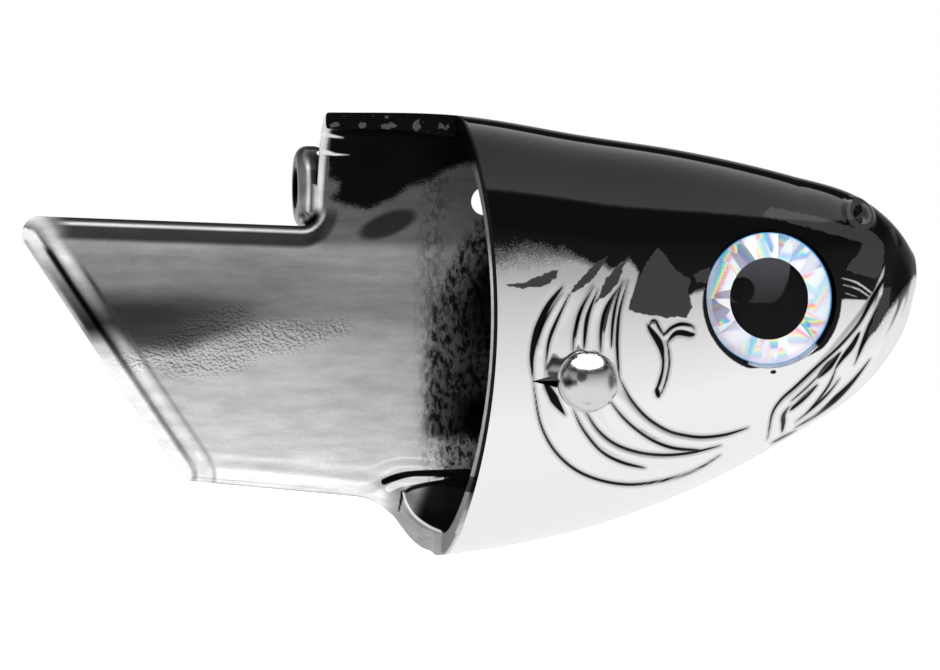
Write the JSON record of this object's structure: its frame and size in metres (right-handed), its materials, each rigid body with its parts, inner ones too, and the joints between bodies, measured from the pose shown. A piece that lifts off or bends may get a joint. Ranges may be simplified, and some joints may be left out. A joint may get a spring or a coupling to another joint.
{
  "type": "bait head",
  "caption": "Hollow fish-head cap for a dead bait, chromed with a dark back, with domed eyes, a side vane, a rig ring, a line tube and a ball-headed bait pin that slides out.",
  "frame": {"origin": "front mouth of the leader tube, in the middle of the snout", "axes": "+X along the leader towards the snout, +Z towards the crown (dark back), +Y towards the left flank, which carries the vane"},
  "size_m": [0.0822, 0.0288, 0.0405],
  "materials": {
    "chromed_shell": "vacuum-chromed ABS with gloss black lacquer fading in over the back",
    "eye_foil": "holographic foil with a printed black pupil",
    "eye_resin": "clear cast resin",
    "eye_adhesive": "adhesive foam",
    "polished_steel": "polished stainless steel",
    "silicone": "silicone"
  },
  "bodies": {
    "head": {"left_shell": "chromed_shell", "right_shell": "chromed_shell", "leader_tube": "polished_steel", "pin_keeper": "silicone", "right_eye_pad": "eye_adhesive", "right_eye_foil": "eye_foil", "right_eye_dome": "eye_resin", "left_eye_pad": "eye_adhesive", "left_eye_foil": "eye_foil", "left_eye_dome": "eye_resin"},
    "bait_pin": {"pin_ball": "polished_steel", "pin_shank": "polished_steel"}
  },
  "joints": [
    {"name": "pin_slide", "type": "slide", "parent": "head", "child": "bait_pin", "axis": [0, -1, 0], "range_m": [0, 0.022]}
  ]
}
